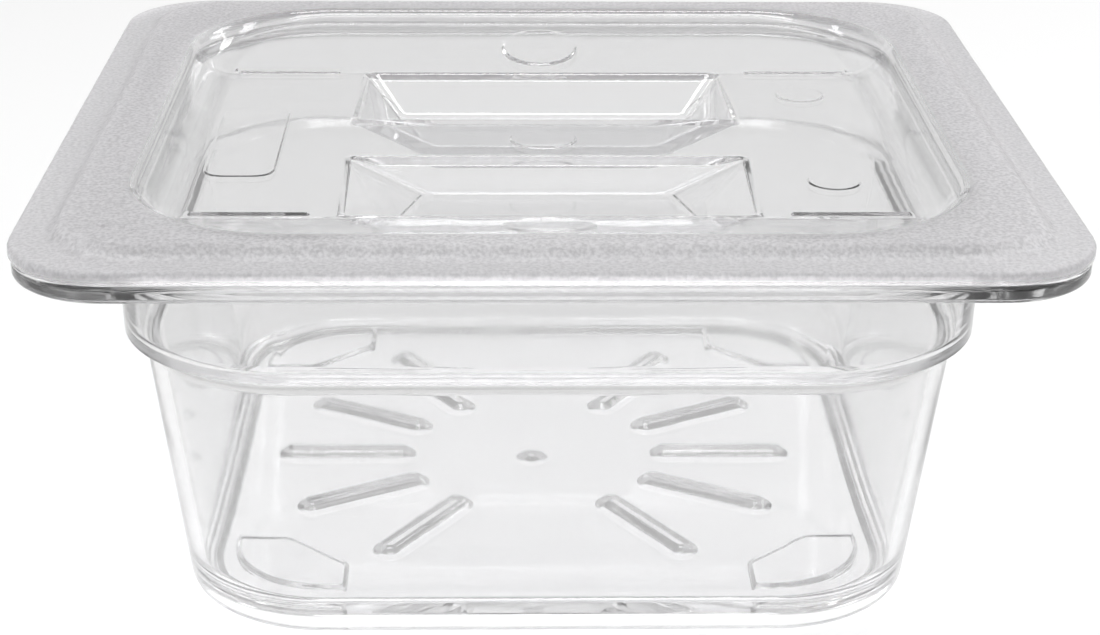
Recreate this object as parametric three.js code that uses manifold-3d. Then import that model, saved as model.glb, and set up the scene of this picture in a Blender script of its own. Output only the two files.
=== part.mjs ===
// Gastronorm 1/6 food pan with its lift-off handled lid, both moulded in clear polycarbonate.
// Millimetres, +Z up. The origin is at the middle of the foot that the pan stands on.
import * as THREE from 'three';
import { mergeVertices } from 'three/addons/utils/BufferGeometryUtils.js';
import Module from 'manifold-3d';

// Driving dimensions
const LENGTH = 176;          // gastronorm 1/6 outside length, along X
const WIDTH = 162;           // gastronorm 1/6 outside width, along Y
const CORNER = 17;           // plan radius of the outer corners
const WALL = 2.5;            // skin of the pan
const SKIN = 2.3;            // skin of the lid
const GAP = 0.3;             // clearance between the lid and the rim it rests on
const RIM_TOP = 72.8;        // height of the pan alone
const RIM_DEPTH = 2.8;       // height of the rim's outer edge
const SHOULDER_Z = 50.5;     // height of the stacking shoulder
const FLOOR_Z = 5.1;         // upper face of the pan's floor
const FOOT_RECESS = 2.5;     // how far the floor's underside is raised above the foot
const BAND = [74.5, 68.4];   // half length and half width outside the band above the shoulder
const LOWER = [71.2, 65.9];  // the same outside the wall just below the shoulder
const FOOT = [65.6, 62.9];   // the same outside the foot
const LEDGE = 6.3;           // width of the lid's outer ledge
const STEP = 1.8;            // rise from the ledge to the lid's raised border
const LIP = [71.3, 67.6];    // half length and half width of the lid's recess at its top
const LIP_RADIUS = 28;       // plan radius of its corners
const SIDE_SLOPE = 0.7;      // its sides lean out this much for each millimetre of height
const RECESS_DEPTH = 4.8;    // lid's recess floor below the ledge
const FLOOR_Y = 42.9;        // half width of the level part of the recess's floor
const RAMP = 0.21;           // slope of the floor from there to the front and back
const WELL_DEPTH = 7.2;      // finger well below the recess floor
const BAR_HALF = 11.1;       // half width of the handle bar between the finger wells
const WELL_OUT = 42.1;       // from the middle to the far edge of a finger well
const ARC_STEPS = 8;         // facets in each quarter circle of the plan

// Derived levels
const LID_UNDER = RIM_TOP + GAP;
const LEDGE_Z = LID_UNDER + SKIN;
const BORDER_Z = LEDGE_Z + STEP;
const RECESS_Z = LEDGE_Z - RECESS_DEPTH;
const WELL_Z = RECESS_Z - WELL_DEPTH;

// Boolean kernel
const kernel = await Module();
kernel.setup();

function toSolid(geometry) {
  const bare = geometry.clone();
  bare.deleteAttribute('normal');
  bare.deleteAttribute('uv');
  const merged = mergeVertices(bare, 1e-4);
  return new kernel.Manifold(new kernel.Mesh({
    numProp: 3,
    vertProperties: new Float32Array(merged.attributes.position.array),
    triVerts: new Uint32Array(merged.index.array),
  }));
}

function toGeometry(solid) {
  const mesh = solid.getMesh();
  const geometry = new THREE.BufferGeometry();
  geometry.setAttribute('position', new THREE.BufferAttribute(new Float32Array(mesh.vertProperties), 3));
  geometry.setIndex(new THREE.BufferAttribute(new Uint32Array(mesh.triVerts), 1));
  geometry.computeVertexNormals();
  return geometry;
}

// One level of a loft: a rounded rectangle with half sizes x and y
function roundedRing(x, y, radius, z) {
  const points = [];
  const corners = [[1, 1, 0], [-1, 1, 1], [-1, -1, 2], [1, -1, 3]];
  for (const [signX, signY, quarter] of corners) {
    for (let step = 0; step <= ARC_STEPS; step += 1) {
      const angle = (quarter + step / ARC_STEPS) * Math.PI / 2;
      points.push(new THREE.Vector3(
        signX * (x - radius) + radius * Math.cos(angle),
        signY * (y - radius) + radius * Math.sin(angle),
        z,
      ));
    }
  }
  return points;
}

// Closed solid through rings that all have the same number of points, with a flat cap at each end.
// The rings run up the outside and back down the inside of a hollow piece.
function loft(rings) {
  const count = rings[0].length;
  const positions = rings.flat().flatMap((point) => point.toArray());
  const index = [];
  for (let level = 0; level < rings.length - 1; level += 1) {
    for (let i = 0; i < count; i += 1) {
      const a = level * count + i;
      const b = level * count + (i + 1) % count;
      index.push(a, b, b + count, a, b + count, a + count);
    }
  }
  const caps = [[0, true], [rings.length - 1, false]];
  for (const [level, facesDown] of caps) {
    const centre = new THREE.Vector3();
    rings[level].forEach((point) => centre.add(point));
    centre.divideScalar(count);
    const middle = positions.length / 3;
    positions.push(centre.x, centre.y, centre.z);
    for (let i = 0; i < count; i += 1) {
      const a = level * count + i;
      const b = level * count + (i + 1) % count;
      index.push(...(facesDown ? [middle, b, a] : [middle, a, b]));
    }
  }
  const geometry = new THREE.BufferGeometry();
  geometry.setAttribute('position', new THREE.Float32BufferAttribute(positions, 3));
  geometry.setIndex(index);
  return geometry;
}

// Ring set in from the outer edge by the same amount all round
function insetRing(inset, radius, z) {
  return roundedRing(LENGTH / 2 - inset, WIDTH / 2 - inset, radius, z);
}

// Ring set in from one of the pan's outlines, given by its half length and half width
function within(outline, inset, radius, z) {
  return roundedRing(outline[0] - inset, outline[1] - inset, radius, z);
}

// The pan: floor and foot, tapered wall, stacking shoulder, straight upper band and rim
function makePan() {
  const rim = 0.3;                     // rim set in from the lid's edge
  const underRim = RIM_TOP - RIM_DEPTH;
  const rings = [
    within(FOOT, 5.8, 20, FOOT_RECESS),
    within(FOOT, 4.6, 21, 0),
    within(FOOT, 1.2, 25, 0),
    within(FOOT, 0, 26, 1.4),
    within(LOWER, 0, 28, SHOULDER_Z - 2.2),
    within(BAND, 0.3, 29.7, SHOULDER_Z - 0.2),
    within(BAND, 0, 30, SHOULDER_Z + 0.4),
    within(BAND, -0.4, 30, RIM_TOP - WALL - 2),
    within(BAND, -1.6, 30, RIM_TOP - WALL),
    insetRing(rim + 2.6, CORNER - 2.4, RIM_TOP - WALL),
    insetRing(rim + 2.2, CORNER - 2, underRim),
    insetRing(rim + 0.8, CORNER - 0.8, underRim),
    insetRing(rim, CORNER, underRim + 0.8),
    insetRing(rim + 0.1, CORNER, RIM_TOP - 0.9),
    insetRing(rim + 0.9, CORNER - 0.8, RIM_TOP),
    within(BAND, 0.2, 28.5, RIM_TOP),
    within(BAND, WALL - 1.2, 27.5, RIM_TOP - 1.2),
    within(BAND, WALL - 0.2, 27, SHOULDER_Z + 1.8),
    within(BAND, WALL + 0.4, 26.6, SHOULDER_Z + 0.9),
    within(LOWER, WALL - 0.2, 25.6, SHOULDER_Z - 1),
    within(FOOT, WALL - 0.3, 23.5, FLOOR_Z + 2.6),
    within(FOOT, WALL + 0.7, 22, FLOOR_Z + 0.7),
    within(FOOT, WALL + 2.8, 20.5, FLOOR_Z),
  ];
  let pan = toSolid(loft(rings));
  for (const bead of floorBeads()) {
    pan = pan.add(toSolid(bead));
  }
  return toGeometry(pan);
}

// Ten raised beads that fan out over the floor, so that food drains and lifts off it
function floorBeads() {
  const inner = 26.4;
  const outer = 47.9;
  const shift = -2.3;
  const halfWidth = 3;
  const height = 1.2;
  const pitch = 28 * Math.PI / 180;
  const half = (outer - inner) / 2;
  const beads = [];
  for (const side of [0, Math.PI]) {
    for (let n = -2; n <= 2; n += 1) {
      const level = (spread, z) => roundedRing(half + spread, spread, spread - 0.01, z);
      const bead = loft([
        level(halfWidth, FLOOR_Z - 0.6),
        level(halfWidth, FLOOR_Z + 0.3),
        level(halfWidth - 1, FLOOR_Z + height),
      ]);
      bead.translate((inner + outer) / 2, 0, 0);
      bead.rotateZ(side + n * pitch);
      bead.translate(shift, 0, 0);
      beads.push(bead);
    }
  }
  return beads;
}

// Outline of a finger well: near edge beside the bar, far edge towards the border, cut corners.
// side is +1 behind the bar and -1 in front of it; grow pushes the outline outwards.
function wellRing(side, [near, nearX, far, farX], grow, z) {
  const cut = 1.2;
  const outline = [
    [nearX + grow - cut, near - grow],
    [nearX + grow, near - grow + cut],
    [farX + grow, far + grow - cut],
    [farX + grow - cut, far + grow],
    [cut - farX - grow, far + grow],
    [-farX - grow, far + grow - cut],
    [-nearX - grow, near - grow + cut],
    [cut - nearX - grow, near - grow],
  ];
  const points = outline.map(([x, y]) => new THREE.Vector3(x, side * y, z));
  return side > 0 ? points : points.reverse();
}

function fingerWell(side, grow, top, bottom) {
  const lip = [BAR_HALF, 37.1, WELL_OUT, 36];
  const foot = [BAR_HALF + 0.3, 22, 34.6, 29.5];
  return loft([
    wellRing(side, foot, grow - 0.8, bottom),
    wellRing(side, foot, grow, bottom + 0.6),
    wellRing(side, lip, grow, top),
  ]);
}

// The hollow of the recess: a rounded funnel cut off by a floor that slopes up to the front and
// back. grow widens it and sink lowers its floor, which gives the recess's underside.
function recessHollow(grow, sink) {
  const top = BORDER_Z + 2;
  const deep = RECESS_Z - sink - 4;
  const level = (z) => {
    const spread = grow + (z + sink - BORDER_Z) * SIDE_SLOPE;
    return roundedRing(LIP[0] + spread, LIP[1] + spread, LIP_RADIUS + spread, z);
  };
  const funnel = toSolid(loft([level(deep), level(top)]));
  const reach = 100;
  const floor = RECESS_Z - sink;
  const start = FLOOR_Y + (sink ? 0.7 : 0);
  const outline = new THREE.Shape([
    new THREE.Vector2(-reach, floor + RAMP * (reach - start)),
    new THREE.Vector2(-start, floor),
    new THREE.Vector2(start, floor),
    new THREE.Vector2(reach, floor + RAMP * (reach - start)),
  ]);
  const slab = new THREE.ExtrudeGeometry(outline, { depth: 2 * reach, bevelEnabled: false });
  slab.translate(0, 0, -reach);
  slab.rotateX(Math.PI / 2);
  slab.rotateZ(Math.PI / 2);
  return funnel.intersect(toSolid(slab));
}

// The lid: ledge, raised border, ramped recess, and a handle bar between two finger wells
function makeLid() {
  const rings = [
    insetRing(LEDGE + 4, 12, BORDER_Z - SKIN),
    insetRing(LEDGE + 2.6, 13, BORDER_Z - SKIN),
    insetRing(LEDGE + 1.4, 14, LID_UNDER),
    insetRing(0.6, CORNER - 0.5, LID_UNDER),
    insetRing(0, CORNER, LID_UNDER + 0.6),
    insetRing(0, CORNER, LEDGE_Z - 0.9),
    insetRing(0.8, CORNER - 0.8, LEDGE_Z - 0.1),
    insetRing(LEDGE - 1.2, 14, LEDGE_Z),
    insetRing(LEDGE + 0.1, 13.6, LEDGE_Z + 0.4),
    insetRing(LEDGE + 1.0, 13, BORDER_Z - 0.4),
    insetRing(LEDGE + 2.4, 12, BORDER_Z),
  ];
  let lid = toSolid(loft(rings));
  const under = recessHollow(1.9, SKIN);
  lid = lid.add(under.intersect(toSolid(loft([
    insetRing(LEDGE + 4, 12, WELL_Z - SKIN),
    insetRing(LEDGE + 4, 12, BORDER_Z - 0.5),
  ]))));
  for (const side of [1, -1]) {
    lid = lid.add(toSolid(fingerWell(side, 1.9, RECESS_Z - 0.4, WELL_Z - SKIN)));
  }
  lid = lid.subtract(recessHollow(0, 0));
  for (const side of [1, -1]) {
    lid = lid.subtract(toSolid(fingerWell(side, 0, RECESS_Z + 0.01, WELL_Z)));
  }
  return toGeometry(lid);
}

function part(name, geometry, colour, roughness) {
  const material = new THREE.MeshStandardMaterial({
    color: colour,
    roughness,
    metalness: 0,
    transparent: true,
    opacity: 0.45,
  });
  const mesh = new THREE.Mesh(geometry, material);
  mesh.name = name;
  return mesh;
}

const assembly = new THREE.Group();
assembly.add(part('pan', makePan(), 0xeeeeef, 0.06));
assembly.add(part('lid', makeLid(), 0xdcdbdd, 0.18));

export default assembly;
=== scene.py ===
"""Gastronorm 1/6 food pan and its handled lid, in clear polycarbonate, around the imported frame.

Both pieces are closed shells with a real wall thickness, lofted through rounded rectangles, so
that their skins bend light as the moulded plastic does. Sizes in the profiles are millimetres.
"""
import math

import bmesh
import bpy
from mathutils import Matrix, Vector


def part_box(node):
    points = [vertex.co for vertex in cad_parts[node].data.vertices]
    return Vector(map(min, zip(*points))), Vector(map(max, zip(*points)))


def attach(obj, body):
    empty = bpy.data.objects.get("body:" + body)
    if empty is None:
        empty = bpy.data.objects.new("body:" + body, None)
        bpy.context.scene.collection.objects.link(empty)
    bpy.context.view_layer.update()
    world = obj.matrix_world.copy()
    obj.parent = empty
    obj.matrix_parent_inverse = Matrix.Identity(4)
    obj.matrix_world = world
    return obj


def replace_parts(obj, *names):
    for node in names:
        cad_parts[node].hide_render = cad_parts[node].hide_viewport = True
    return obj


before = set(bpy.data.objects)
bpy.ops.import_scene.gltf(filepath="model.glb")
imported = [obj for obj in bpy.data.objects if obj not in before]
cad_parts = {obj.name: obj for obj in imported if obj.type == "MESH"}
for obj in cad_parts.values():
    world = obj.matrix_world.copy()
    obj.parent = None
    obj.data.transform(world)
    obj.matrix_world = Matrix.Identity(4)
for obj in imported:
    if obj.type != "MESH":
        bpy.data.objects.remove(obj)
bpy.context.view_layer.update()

MM = 0.001
POLYCARBONATE = 1.585   # refractive index
ARC_STEPS = 22          # points in each quarter circle of the plan
FILLET_STEPS = 6        # points in each rounded corner of a profile

# ------------------------------------------------------------------ sizes taken from the frame
pan_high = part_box("pan")[1] / MM
lid_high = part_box("lid")[1] / MM
HALF_X, HALF_Y = lid_high.x, lid_high.y      # outside of the lid
RIM_X, RIM_Y = pan_high.x, pan_high.y        # outside of the pan's rim
RIM_TOP = pan_high.z
BORDER_Z = lid_high.z

# ------------------------------------------------------------------ lid section
CORNER = 17             # plan radius of the outer corners
SKIN = 2.2              # lid's thickness
STEP = 1.8              # rise from the ledge to the raised border
LEDGE = 6.3             # width of the outer ledge
LEDGE_Z = BORDER_Z - STEP
LID_UNDER = LEDGE_Z - 2.3
LIP_X, LIP_Y, LIP_R = 71.3, 67.6, 28.0     # lip of the recess in plan
SIDE_SLOPE = 0.7        # the recess's sides lean out this much for each millimetre of height
RECESS_Z = LEDGE_Z - 4.8
FLOOR_Y = 42.9          # half width, along Y, of the level part of the recess's floor
RAMP = 0.21             # slope of the floor in front of that and behind it
WELL_Z = RECESS_Z - 7.2
BAR_HALF = 11.1         # half width of the grip bar
# a finger well's outline: near edge and its half length, then far edge and its half length
WELL_TOP = (BAR_HALF, 37.1, 42.1, 36)
WELL_BOTTOM = (BAR_HALF + 0.3, 22, 34.6, 29.5)
WELL_TOP_UNDER = (BAR_HALF - 2.1, 37.3, 42.7, 36.7)
WELL_BOTTOM_UNDER = (BAR_HALF - 1.8, 22.2, 35.2, 30.2)
POINT = 0.01            # half length of a bead that is a round disc
# marks moulded in the recess's floor: x, y, half length, radius, height
DISCS = (
    (51.2, 26.8, POINT, 5.0, 0.12),
    (51.2, -24.6, POINT, 5.0, 0.12),
    (-0.6, -0.9, POINT, 6.5, 0.25),
)
RIBS = tuple((sx * 51.85, sy * 41.7, 9.8, 0.75, 0.45) for sx in (1, -1) for sy in (1, -1))
# raised outline beside the wells: x, y and rounding of each corner
LABEL = ((-62.4, -22.5, 4), (-49.3, -22.5, 4), (-49.3, 18, 4), (-62.4, 18, 4))
RAMP_DISC_Y, RAMP_DISC_R = 53.0, 8.2       # disc on each slope
LOZENGE_X, LOZENGE_Y = -70.6, -65.8        # sunk mark in one corner of the border
LOZENGE_TURN = math.radians(-14)
UNDER_RINGS = 9         # rings of the lid's edge that lie under the border

# how frosted the lid is: 0 clear, 1 fully frosted; the ledge is set less frosted than the border so
# that it comes out lighter, painted light for the bright rim seen through it, with the border left
# darker as painted shade
FROST_BORDER = 1.0
# painted light: the ledge's lower frost makes its colour lighter than the border's
LEDGE_FROST_AND_PAINTED_LIGHT = 0.86
FROST_UNDER = 0.2
FROST_RECESS = (1.0, 1.0, 0.9, 0.6, 0.3, 0.1)    # fading down the first rings of its side

# ------------------------------------------------------------------ pan section
WALL = 2.5              # pan's thickness
RIM_DEPTH = 2.8         # height of the rim's outer edge
MOUTH_X, MOUTH_Y = 13.5, 12.6    # lid's edge to the outside of the wall, along X and Y
SHOULDER_Z = 50.5
WALL_X, WALL_Y = 71.2, 65.9      # outside of the wall just under the shoulder
FOOT_X, FOOT_Y = 65.6, 62.9      # and at the foot
FLOOR_Z = 5.1           # top of the floor
UNDER_FLOOR = 2.5       # underside of the floor, raised above the foot
FLOOR_INSET = WALL + 4.2         # from the foot's outside to the flat of the floor
FLOOR_R = 19            # plan radius of that flat
BEAD_INNER, BEAD_OUTER = 26.4, 47.9        # ends of the beads' middle lines, from their centre
BEAD_SHIFT = -2.3       # the beads' centre, along X
BEAD_PITCH = math.radians(28)
BEAD_R, BEAD_EDGE, BEAD_HEIGHT = 3.3, 2.4, 1.2
GATE_X, GATE_Y, GATE_R = -2.5, -1.5, 3.4   # mark left by the mould's gate
PAD_X, PAD_Y = 36, 34.5          # inner sides of the pads in the floor's corners

# ------------------------------------------------------------------ studio
DOME_FRONT = 0.11       # brightness of the dome on the camera's side
DOME_BACK = 0.65        # and overhead and at the back


# ------------------------------------------------------------------ mesh building
def control(x, y, radius, z, fillet=0.0):
    """One control level of a profile: half sizes, plan radius, height and the rounding there."""
    return (x, y, radius, z), fillet


def inset(amount, radius, z, fillet=0.0):
    return control(HALF_X - amount, HALF_Y - amount, radius, z, fillet)


def rim(amount, radius, z, fillet=0.0):
    return control(RIM_X - amount, RIM_Y - amount, radius, z, fillet)


def wall(amount, radius, z, fillet=0.0):
    return control(HALF_X - MOUTH_X - amount, HALF_Y - MOUTH_Y - amount, radius, z, fillet)


def section_length(a, b):
    """Distance between two levels as seen in the section through the wall."""
    across = max(abs(a[0] - b[0]), abs(a[1] - b[1]))
    return math.hypot(across, a[3] - b[3])


def mix(a, b, t):
    return tuple(p + (q - p) * t for p, q in zip(a, b))


def smooth_profile(levels):
    """The levels with each corner replaced by a small curve of its own fillet."""
    result = [levels[0][0]]
    for i in range(1, len(levels) - 1):
        before, (here, fillet), after = levels[i - 1][0], levels[i], levels[i + 1][0]
        if fillet <= 0:
            result.append(here)
            continue
        back, ahead = section_length(before, here), section_length(here, after)
        start = mix(here, before, min(fillet / back, 0.49))
        end = mix(here, after, min(fillet / ahead, 0.49))
        for step in range(FILLET_STEPS + 1):
            t = step / FILLET_STEPS
            result.append(mix(mix(start, here, t), mix(here, end, t), t))
    result.append(levels[-1][0])
    return result


def quarter_angles(*early):
    """Angles of one quarter's points; early ones are given after the first."""
    angles = [0.0, *early]
    left = ARC_STEPS + 1 - len(angles)
    last = angles[-1]
    return angles + [last + (math.pi / 2 - last) * (k + 1) / left for k in range(left)]


EVEN = quarter_angles()


def plan_ring(x, y, radius, angles=EVEN):
    """Points of a rounded rectangle in plan, counter-clockwise, each with its way outwards."""
    ring = []
    for sx, sy in ((1, 1), (-1, 1), (-1, -1), (1, -1)):
        for angle in (angles if sx == sy else reversed(angles)):
            out = Vector((sx * math.cos(angle), sy * math.sin(angle), 0))
            middle = Vector((sx * (x - radius), sy * (y - radius), 0))
            ring.append((middle + out * radius, out))
    return ring


def rounded_rectangle(x, y, radius, z, angles=EVEN):
    return [(point.x, point.y, z) for point, _ in plan_ring(x, y, radius, angles)]


def round_section(points, fillets):
    """A way through the points, with each inner corner rounded by a curve of its own size."""
    path = [points[0]]
    for i, size in enumerate(fillets, 1):
        here = points[i]
        before, after = points[i - 1] - here, points[i + 1] - here
        most_before = 0.95 if i == 1 else 0.49
        most_after = 0.95 if i == len(fillets) else 0.49
        start = here + before * min(size / before.length, most_before)
        end = here + after * min(size / after.length, most_after)
        for step in range(FILLET_STEPS + 1):
            t = step / FILLET_STEPS
            path.append(start.lerp(here, t).lerp(here.lerp(end, t), t))
    path.append(points[-1])
    return path


def add_ring(bm, points):
    return [bm.verts.new(Vector(p) * MM) for p in points]


def bridge(bm, lower, upper):
    count = len(lower)
    for i in range(count):
        j = (i + 1) % count
        bm.faces.new((lower[i], lower[j], upper[j], upper[i]))


def loft(bm, rings):
    """Walls through lists of points; returns the vertices of each ring."""
    verts = [add_ring(bm, ring) for ring in rings]
    for lower, upper in zip(verts, verts[1:]):
        bridge(bm, lower, upper)
    return verts


def ring_edges(bm, verts):
    edges = []
    for a, b in zip(verts, verts[1:] + verts[:1]):
        edges.append(bm.edges.get((a, b)) or bm.edges.new((a, b)))
    return edges


def fill_between(bm, *loops):
    """Flat face inside the first loop, with the other loops as its holes."""
    edges = [edge for loop in loops for edge in ring_edges(bm, loop)]
    bmesh.ops.triangle_fill(bm, use_beauty=True, use_dissolve=False, edges=edges)


def finish_mesh(bm, name, body, material):
    bmesh.ops.recalc_face_normals(bm, faces=bm.faces)
    for face in bm.faces:
        face.smooth = True
    mesh = bpy.data.meshes.new(name)
    bm.to_mesh(mesh)
    bm.free()
    piece = bpy.data.objects.new(name, mesh)
    bpy.context.scene.collection.objects.link(piece)
    mesh.materials.append(material)
    weighted = piece.modifiers.new("face_weighted_normals", "WEIGHTED_NORMAL")
    weighted.weight = 80
    weighted.keep_sharp = True
    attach(piece, body)
    return piece


def capsule(half_length, radius, steps=10):
    """Plan outline of a bead about its own middle, long along X."""
    points = []
    for end in (0, 1):
        for step in range(steps + 1):
            angle = (end - 0.5 + step / steps) * math.pi
            shift = half_length if end == 0 else -half_length
            points.append((shift + radius * math.cos(angle), radius * math.sin(angle)))
    return points


def inset_corners(corners, amount):
    """A polygon's corners (x, y, rounding) after each side moves inwards."""
    moved = []
    for i, (x, y, rounding) in enumerate(corners):
        here = Vector((x, y))
        before = (here - Vector(corners[i - 1][:2])).normalized()
        after = (Vector(corners[(i + 1) % len(corners)][:2]) - here).normalized()
        side_a, side_b = Vector((-before.y, before.x)), Vector((-after.y, after.x))
        here += (side_a + side_b) * amount / (1 + side_a.dot(side_b))
        moved.append((here.x, here.y, rounding))
    return moved


def rounded_polygon(corners, steps=6):
    """Outline of a polygon, counter-clockwise, with each corner (x, y, rounding) rounded."""
    points = []
    for i, (x, y, rounding) in enumerate(corners):
        here = Vector((x, y))
        start = here + (Vector(corners[i - 1][:2]) - here).normalized() * rounding
        end = here + (Vector(corners[(i + 1) % len(corners)][:2]) - here).normalized() * rounding
        for step in range(steps + 1):
            t = step / steps
            points.append(tuple(start.lerp(here, t).lerp(here.lerp(end, t), t)))
    return points


def raised_shape(bm, place, outline, edge, height):
    """Something a little proud of a flat face; outline(inset) is its plan. Returns its foot."""
    rings = []
    for step in range(9):
        t = step / 8
        rise = height * (1 - math.cos(t * math.pi)) / 2
        rings.append([place @ Vector((x, y, rise)) for x, y in outline(edge * t)])
    verts = loft(bm, rings)
    bm.faces.new(verts[-1])
    return verts[0]


def raised_bead(bm, place, half_length, radius, edge, height):
    return raised_shape(
        bm, place, lambda inset: capsule(half_length, radius - inset), edge, height)


def raised_pad(bm, place, corners, edge, height):
    return raised_shape(
        bm, place, lambda inset: rounded_polygon(inset_corners(corners, inset)), edge, height)


# ------------------------------------------------------------------ pan
def foot(amount, radius, z, fillet=0.0):
    return control(FOOT_X - amount, FOOT_Y - amount, radius, z, fillet)


def pan_profile():
    under = RIM_TOP - RIM_DEPTH
    return smooth_profile([
        foot(FLOOR_INSET - 0.1, FLOOR_R + 0.1, UNDER_FLOOR),
        foot(5.0, 21, UNDER_FLOOR, 0.8),
        foot(4.2, 21.8, 0, 1.0),
        foot(0.2, 25.8, 0, 2.4),
        control(WALL_X, WALL_Y, 28, SHOULDER_Z - 2.2, 0.9),
        control(WALL_X + 1.3, WALL_Y + 1.1, 29, SHOULDER_Z - 0.5, 0.7),
        wall(0, 30, SHOULDER_Z, 0.3),
        wall(-0.4, 30, RIM_TOP - WALL, 1.6),
        rim(2.4, CORNER - 2.2, RIM_TOP - WALL, 0.2),
        rim(2.2, CORNER - 2, under, 0.3),
        rim(0, CORNER, under, 0.9),
        rim(0, CORNER, RIM_TOP, 0.9),
        wall(WALL - 1.2, 27.5, RIM_TOP, 1.4),
        wall(WALL - 0.2, 27, SHOULDER_Z + 1.4, 1.5),
        control(WALL_X - WALL + 0.2, WALL_Y - WALL + 0.2, 25.6, SHOULDER_Z - 0.7, 0.9),
        foot(WALL - 0.3, 23.5, FLOOR_Z, 3.4),
        foot(FLOOR_INSET, FLOOR_R, FLOOR_Z),
    ])


def corner_pad(sx, sy):
    """Corners of the raised pad in one corner of the floor, counter-clockwise."""
    middle_x, middle_y = FOOT_X - FLOOR_INSET - FLOOR_R, FOOT_Y - FLOOR_INSET - FLOOR_R
    reach = FLOOR_R - 1.1
    corners = [(PAD_X, 45, 1.5), (48, PAD_Y, 1.5), (middle_x + reach, PAD_Y, 0.8)]
    for degrees in (12, 33, 57, 78):
        turn = math.radians(degrees)
        corners.append((middle_x + reach * math.cos(turn), middle_y + reach * math.sin(turn), 2.5))
    corners.append((PAD_X, middle_y + reach, 0.8))
    corners = [(sx * x, sy * y, rounding) for x, y, rounding in corners]
    return corners if sx == sy else corners[::-1]


def floor_marks(bm, level):
    """The feet of everything moulded in the floor, on its top or, just the same, underneath."""
    on_floor = Matrix.Translation((0, 0, level))
    holes = []
    half_length = (BEAD_OUTER - BEAD_INNER) / 2
    along = Matrix.Translation(((BEAD_INNER + BEAD_OUTER) / 2, 0, 0))
    for side in (0, math.pi):
        for n in range(-2, 3):
            turn = Matrix.Rotation(side + n * BEAD_PITCH, 4, "Z")
            place = on_floor @ Matrix.Translation((BEAD_SHIFT, 0, 0)) @ turn @ along
            holes.append(raised_bead(bm, place, half_length, BEAD_R, BEAD_EDGE, BEAD_HEIGHT))
    gate = on_floor @ Matrix.Translation((GATE_X, GATE_Y, 0))
    holes.append(raised_bead(bm, gate, POINT, GATE_R, BEAD_EDGE, 0.5))
    for sx, sy in ((1, 1), (-1, 1), (-1, -1), (1, -1)):
        holes.append(raised_pad(bm, on_floor, corner_pad(sx, sy), 0.9, 0.7))
    return holes


def make_pan(material):
    """The floor keeps its thickness under its beads and pads, as a moulding's does."""
    bm = bmesh.new()
    rings = loft(bm, [rounded_rectangle(*level) for level in pan_profile()])
    fill_between(bm, rings[0], *floor_marks(bm, UNDER_FLOOR))
    fill_between(bm, rings[-1], *floor_marks(bm, FLOOR_Z))
    piece = finish_mesh(bm, "pan_shell", "pan", material)
    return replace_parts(piece, "pan")


# ------------------------------------------------------------------ lid
def turn_of(y, drop):
    """Angle at which the recess's foot, drop inside its lip, reaches y."""
    return math.asin((y - (LIP_Y - LIP_R)) / (LIP_R - drop))


SIDE_RUN = SIDE_SLOPE * (BORDER_Z - RECESS_Z)
UNDER_LINE = FLOOR_Y + 0.7       # where the floor turns up as seen from below
LID_ANGLES = quarter_angles(turn_of(FLOOR_Y, SIDE_RUN), turn_of(UNDER_LINE, SIDE_RUN - 1.9))
QUARTER = len(LID_ANGLES)


def floor_height(y, start):
    """Height of the recess's floor: level, then a gentle slope."""
    return RECESS_Z + RAMP * max(0.0, abs(y) - start)


def recess_rings(grow, sink, start, crease, flat):
    """The recess's side, from the border down to the floor. The floor turns up at start, where
    it has a vertex: the one numbered crease in each quarter."""
    sections = []
    lip = plan_ring(LIP_X + grow, LIP_Y + grow, LIP_R + grow, LID_ANGLES)
    for i, (point, out) in enumerate(lip):
        place = i % QUARTER
        if (i // QUARTER) % 2:
            place = QUARTER - 1 - place
        run = 0.0
        for _ in range(20):
            low = point - out * run
            run = SIDE_SLOPE * (BORDER_Z - floor_height(low.y, start))
        ahead = low - out * 3.8
        if place == crease:
            low.y = ahead.y = math.copysign(start, low.y)
        low.z = floor_height(low.y, start) - sink
        ahead.z = floor_height(ahead.y, start) - sink
        point.z = BORDER_Z - sink
        behind = point + out * flat
        sections.append(round_section([behind, point, low, ahead], (1.5, 3.2)))
    return list(zip(*sections))


def well_rings(side, top, bottom, top_z, bottom_z, lip, heel):
    """A finger well from its lip down. top and bottom are (near, half width, far, half width)."""
    outlines = []
    for (near, near_x, far, far_x), grow, z in (
            (top, lip, top_z), (top, 0, top_z), (bottom, 0, bottom_z), (bottom, -heel, bottom_z)):
        corners = [
            (-near_x, near, 2.2), (near_x, near, 2.2), (far_x, far, 2.2), (-far_x, far, 2.2),
        ]
        outline = rounded_polygon(inset_corners(corners, -grow))
        outlines.append([Vector((side * x, side * y, z)) for x, y in outline])
    sections = [round_section(points, (lip, heel)) for points in zip(*outlines)]
    return list(zip(*sections))


def lid_edge_profile():
    """The lid's outside, from the top of the border round to the underside of the border."""
    return smooth_profile([
        inset(LEDGE + 3.2, 11.5, BORDER_Z),
        inset(LEDGE + 1.5, 13, BORDER_Z, 1.3),
        inset(LEDGE - 0.4, 14, LEDGE_Z, 1.3),
        inset(0, CORNER, LEDGE_Z, 1.0),
        inset(0, CORNER, LID_UNDER, 0.6),
        inset(LEDGE + 1.4, 14, LID_UNDER, 0.6),
        inset(LEDGE + 2.6, 13, BORDER_Z - SKIN, 0.6),
        inset(LEDGE + 4.0, 12, BORDER_Z - SKIN),
    ])


def recess_floor(bm, ring, crease, holes, slope_holes):
    """The level part of the recess's floor and the slopes at its front and back."""
    count = 2 * QUARTER
    level = []
    for half, sy in ((0, 1), (1, -1)):
        first, last = half * count + crease, (half + 1) * count - 1 - crease
        slope = ring[first:last + 1]
        fill_between(bm, slope, *slope_holes[sy])
        bm.edges.get((slope[0], slope[-1])).smooth = False
        level += [slope[0], slope[-1], *ring[last + 1:(half + 1) * count]]
        level += ring[(half + 1) * count % len(ring):][:crease]
    fill_between(bm, level, *holes)


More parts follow.
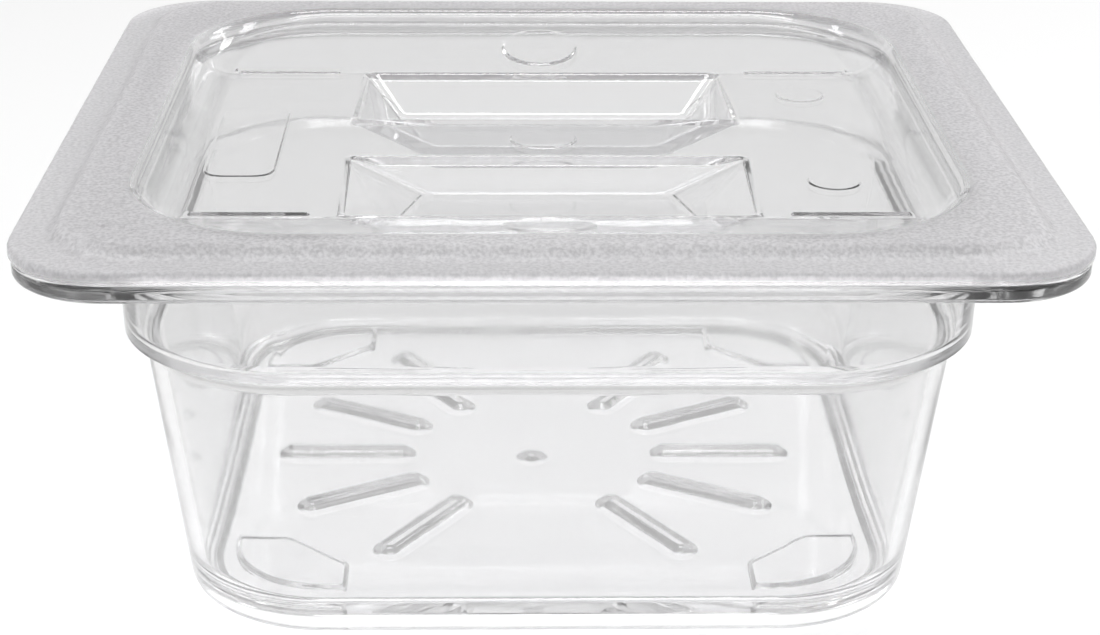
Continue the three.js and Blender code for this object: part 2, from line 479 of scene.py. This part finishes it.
def edge_frost_and_shade(level, underside):
    """Frost of a vertex of the lid's edge, from its height; the ledge's value is lowered to paint
    it lighter than the border (painted light).
    """
    if level <= LID_UNDER + 0.7:
        return FROST_UNDER
    if underside:
        return 0.0
    return FROST_BORDER if level > LEDGE_Z + 0.3 else LEDGE_FROST_AND_PAINTED_LIGHT


def lid_marks(bm):
    """The feet of what is moulded in the recess's level floor, and on its slopes."""
    on_floor = []
    for x, y, half_length, radius, height in (*DISCS, *RIBS):
        place = Matrix.Translation((x, y, RECESS_Z))
        edge = min(0.6, radius * 0.8)
        on_floor.append(raised_bead(bm, place, half_length, radius, edge, height))
    on_floor.append(raised_pad(bm, Matrix.Translation((0, 0, RECESS_Z)), LABEL, 0.5, 0.12))
    on_slopes = {}
    for sy in (1, -1):
        lift = RECESS_Z + RAMP * (RAMP_DISC_Y - FLOOR_Y)
        tilt = Matrix.Rotation(sy * math.atan(RAMP), 4, "X")
        place = Matrix.Translation((-0.5, sy * RAMP_DISC_Y, lift)) @ tilt
        on_slopes[sy] = [raised_bead(bm, place, POINT, RAMP_DISC_R, 1.0, 0.35)]
    return on_floor, on_slopes


def finger_well(bm, side, top, bottom, sink, lip, heel):
    """One skin of a finger well; returns its top ring."""
    verts = loft(bm, well_rings(side, top, bottom, RECESS_Z - sink, WELL_Z - sink, lip, heel))
    bm.faces.new(verts[-1])
    return verts[0]


def make_lid(material):
    bm = bmesh.new()
    frost_and_shade = bm.verts.layers.float.new("frost_and_shade")
    edge = loft(bm, [rounded_rectangle(*level, LID_ANGLES) for level in lid_edge_profile()])
    for number, ring in enumerate(edge):
        for vert in ring:
            vert[frost_and_shade] = edge_frost_and_shade(vert.co.z / MM, number >= len(edge) - UNDER_RINGS)
    recess = loft(bm, recess_rings(0, 0, FLOOR_Y, 1, 2.4))
    for ring, amount in zip(recess, FROST_RECESS):
        for vert in ring:
            vert[frost_and_shade] = amount
    under = loft(bm, recess_rings(1.9, SKIN, UNDER_LINE, 2, 1.2))
    bridge(bm, edge[-1], under[0])

    mark = Matrix.Translation((LOZENGE_X, LOZENGE_Y, BORDER_Z))
    lozenge = raised_bead(bm, mark @ Matrix.Rotation(LOZENGE_TURN, 4, "Z"), 1.9, 1.4, 0.6, -0.3)
    fill_between(bm, edge[0], recess[0], lozenge)
    for vert in bm.verts:
        if vert[frost_and_shade] == 0 and vert.co.z / MM > BORDER_Z - 0.4:
            vert[frost_and_shade] = FROST_BORDER

    floor_holes, under_holes = [], []
    for side in (1, -1):
        floor_holes.append(finger_well(bm, side, WELL_TOP, WELL_BOTTOM, 0, 0.7, 1.3))
        under_holes.append(finger_well(bm, side, WELL_TOP_UNDER, WELL_BOTTOM_UNDER, SKIN, 0.5, 1.5))
    on_floor, on_slopes = lid_marks(bm)
    floor_holes += on_floor
    recess_floor(bm, recess[-1], 1, floor_holes, on_slopes)
    recess_floor(bm, under[-1], 2, under_holes, {1: [], -1: []})
    piece = finish_mesh(bm, "lid_shell", "lid", material)
    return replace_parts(piece, "lid")


# ------------------------------------------------------------------ materials
def new_material(name):
    material = bpy.data.materials.new(name)
    material.use_nodes = True
    tree = material.node_tree
    tree.nodes.clear()
    return material, tree.nodes, tree.links


def shadow_passes(nodes, links, shader, tint):
    """Lets lamps shine through the plastic, so that its shadow is as light as a clear pan's."""
    path = nodes.new("ShaderNodeLightPath")
    clear = nodes.new("ShaderNodeBsdfTransparent")
    clear.inputs["Color"].default_value = (*tint, 1)
    either = nodes.new("ShaderNodeMixShader")
    out = nodes.new("ShaderNodeOutputMaterial")
    links.new(path.outputs["Is Shadow Ray"], either.inputs["Fac"])
    links.new(shader.outputs[0], either.inputs[1])
    links.new(clear.outputs[0], either.inputs[2])
    links.new(either.outputs[0], out.inputs["Surface"])


def ripple(nodes, links):
    """Slow waviness of a moulded skin, as a bump."""
    place = nodes.new("ShaderNodeTexCoord")
    noise = nodes.new("ShaderNodeTexNoise")
    noise.inputs["Scale"].default_value = 45
    noise.inputs["Detail"].default_value = 2
    bump = nodes.new("ShaderNodeBump")
    bump.inputs["Strength"].default_value = 0.12
    bump.inputs["Distance"].default_value = 0.0004
    links.new(place.outputs["Object"], noise.inputs["Vector"])
    links.new(noise.outputs["Fac"], bump.inputs["Height"])
    return bump


def clear_plastic():
    """Polished, with a faint haze that varies over the skin."""
    material, nodes, links = new_material("clear_polycarbonate")
    shader = nodes.new("ShaderNodeBsdfPrincipled")
    shader.inputs["Base Color"].default_value = (0.845, 0.845, 0.845, 1)
    shader.inputs["Transmission Weight"].default_value = 1
    shader.inputs["IOR"].default_value = POLYCARBONATE
    place = nodes.new("ShaderNodeTexCoord")
    haze = nodes.new("ShaderNodeTexNoise")
    haze.inputs["Scale"].default_value = 60
    haze.inputs["Detail"].default_value = 6
    spread = nodes.new("ShaderNodeMapRange")
    spread.inputs["From Min"].default_value = 0.35
    spread.inputs["From Max"].default_value = 0.75
    spread.inputs["To Min"].default_value = 0.02
    spread.inputs["To Max"].default_value = 0.07
    links.new(place.outputs["Object"], haze.inputs["Vector"])
    links.new(haze.outputs["Fac"], spread.inputs["Value"])
    links.new(spread.outputs["Result"], shader.inputs["Roughness"])
    links.new(ripple(nodes, links).outputs["Normal"], shader.inputs["Normal"])
    shadow_passes(nodes, links, shader, (0.96, 0.96, 0.965))
    return material


def lid_plastic():
    """Clear in the recess, frosted with a fine grain over the border and ledge; the frost value
    also paints the ledge lighter than the border, as painted light.
    """
    material, nodes, links = new_material("lid_polycarbonate")
    frost_and_shade = nodes.new("ShaderNodeAttribute")
    frost_and_shade.attribute_name = "frost_and_shade"
    place = nodes.new("ShaderNodeTexCoord")
    grain = nodes.new("ShaderNodeTexNoise")
    grain.inputs["Scale"].default_value = 1500
    grain.inputs["Detail"].default_value = 3
    links.new(place.outputs["Object"], grain.inputs["Vector"])
    rough = nodes.new("ShaderNodeMapRange")
    rough.inputs["To Min"].default_value = 0.03
    rough.inputs["To Max"].default_value = 0.55
    links.new(frost_and_shade.outputs["Fac"], rough.inputs["Value"])
    # the frost value picks the colour, so the ledge's lower value paints it lighter than the border
    # (painted light)
    colour = nodes.new("ShaderNodeMix")
    colour.data_type = "RGBA"
    colour.inputs["A"].default_value = (0.94, 0.94, 0.945, 1)
    links.new(frost_and_shade.outputs["Fac"], colour.inputs["Factor"])
    speckle = nodes.new("ShaderNodeMapRange")
    speckle.inputs["From Min"].default_value = 0.35
    speckle.inputs["From Max"].default_value = 0.65
    links.new(grain.outputs["Fac"], speckle.inputs["Value"])
    frosted = nodes.new("ShaderNodeMix")
    frosted.data_type = "RGBA"
    frosted.inputs["A"].default_value = (0.57, 0.56, 0.575, 1)
    frosted.inputs["B"].default_value = (0.84, 0.828, 0.846, 1)
    links.new(speckle.outputs["Result"], frosted.inputs["Factor"])
    links.new(frosted.outputs["Result"], colour.inputs["B"])
    share = nodes.new("ShaderNodeMapRange")
    share.inputs["To Min"].default_value = 1.0
    share.inputs["To Max"].default_value = 0.55
    links.new(frost_and_shade.outputs["Fac"], share.inputs["Value"])
    strength = nodes.new("ShaderNodeMath")
    strength.operation = "MULTIPLY"
    strength.inputs[1].default_value = 0.35
    links.new(frost_and_shade.outputs["Fac"], strength.inputs[0])
    bump = nodes.new("ShaderNodeBump")
    bump.inputs["Distance"].default_value = 0.0002
    links.new(strength.outputs["Value"], bump.inputs["Strength"])
    links.new(grain.outputs["Fac"], bump.inputs["Height"])
    links.new(ripple(nodes, links).outputs["Normal"], bump.inputs["Normal"])
    shader = nodes.new("ShaderNodeBsdfPrincipled")
    shader.inputs["IOR"].default_value = POLYCARBONATE
    links.new(colour.outputs["Result"], shader.inputs["Base Color"])
    links.new(rough.outputs["Result"], shader.inputs["Roughness"])
    links.new(share.outputs["Result"], shader.inputs["Transmission Weight"])
    links.new(bump.outputs["Normal"], shader.inputs["Normal"])
    shadow_passes(nodes, links, shader, (0.93, 0.93, 0.935))
    return material


# ------------------------------------------------------------------ stage, camera and lights
def make_stage():
    """Plain white floor."""
    material, nodes, links = new_material("white_floor")
    shader = nodes.new("ShaderNodeBsdfPrincipled")
    shader.inputs["Base Color"].default_value = (0.95, 0.95, 0.95, 1)
    shader.inputs["Roughness"].default_value = 0.8
    shader.inputs["Specular IOR Level"].default_value = 0.1
    out = nodes.new("ShaderNodeOutputMaterial")
    links.new(shader.outputs[0], out.inputs["Surface"])
    bm = bmesh.new()
    bmesh.ops.create_grid(bm, x_segments=4, y_segments=4, size=4)
    mesh = bpy.data.meshes.new("floor")
    bm.to_mesh(mesh)
    bm.free()
    mesh.materials.append(material)
    floor = bpy.data.objects.new("floor", mesh)
    bpy.context.scene.collection.objects.link(floor)


def make_camera():
    """Straight-on view from above the front edge."""
    pitch, yaw, roll = math.radians(22.99), math.radians(1.35), math.radians(0.47)
    forward = Vector((
        math.sin(yaw) * math.cos(pitch), math.cos(yaw) * math.cos(pitch), -math.sin(pitch),
    ))
    right = Vector((math.cos(yaw), -math.sin(yaw), 0))
    up = right.cross(forward)
    turned_right = right * math.cos(roll) + up * math.sin(roll)
    turned_up = up * math.cos(roll) - right * math.sin(roll)
    data = bpy.data.cameras.new("camera")
    data.lens = 74.0
    data.sensor_width = 36
    camera = bpy.data.objects.new("camera", data)
    bpy.context.scene.collection.objects.link(camera)
    turn = Matrix((turned_right, turned_up, -forward)).transposed()
    place = Vector((-0.0086, -0.4064, LEDGE_Z * MM + 0.1307))
    camera.matrix_world = Matrix.Translation(place) @ turn.to_4x4()
    bpy.context.scene.camera = camera


def area_light(name, place, aim, size, power):
    data = bpy.data.lights.new(name, "AREA")
    data.shape = "RECTANGLE"
    data.size, data.size_y = size
    data.energy = power
    light = bpy.data.objects.new(name, data)
    light.location = place
    light.rotation_euler = (Vector(aim) - Vector(place)).to_track_quat("-Z", "Y").to_euler()
    bpy.context.scene.collection.objects.link(light)


def make_lights():
    """White dome, dimmer on the camera's side, so that edges turn a soft grey, and softboxes."""
    world = bpy.data.worlds.new("studio")
    world.use_nodes = True
    nodes, links = world.node_tree.nodes, world.node_tree.links
    place = nodes.new("ShaderNodeTexCoord")
    lean = nodes.new("ShaderNodeVectorMath")
    lean.operation = "DOT_PRODUCT"
    lean.inputs[1].default_value = (0, 1, 1.3)
    fade = nodes.new("ShaderNodeMapRange")
    fade.interpolation_type = "SMOOTHSTEP"
    fade.inputs["From Min"].default_value = -0.6
    fade.inputs["From Max"].default_value = 0.5
    fade.inputs["To Min"].default_value = DOME_FRONT
    fade.inputs["To Max"].default_value = DOME_BACK
    links.new(place.outputs["Generated"], lean.inputs[0])
    links.new(lean.outputs["Value"], fade.inputs["Value"])
    links.new(fade.outputs["Result"], nodes["Background"].inputs["Strength"])
    nodes["Background"].inputs["Color"].default_value = (1, 1, 1, 1)
    bpy.context.scene.world = world
    middle = (0, 0, 0.04)
    area_light("back_softbox", (0.7, 0.65, 0.75), middle, (0.3, 0.3), 1.6)
    area_light("left_softbox", (-0.8, 0.1, 0.7), middle, (0.2, 0.3), 1.4)
    area_light("right_softbox", (0.75, 0.1, 0.7), middle, (0.2, 0.3), 1.2)
    area_light("top_softbox", (0, -0.02, 0.95), middle, (0.4, 0.24), 2.3)
    scene = bpy.context.scene
    scene.view_settings.view_transform = "Standard"
    # light takes many turns inside clear edges, which go black at the default glossy limit
    scene.cycles.max_bounces = 32
    scene.cycles.glossy_bounces = 24
    scene.cycles.transmission_bounces = 32
    scene.cycles.transparent_max_bounces = 24


make_camera()
make_stage()
make_lights()
make_pan(clear_plastic())
make_lid(lid_plastic())
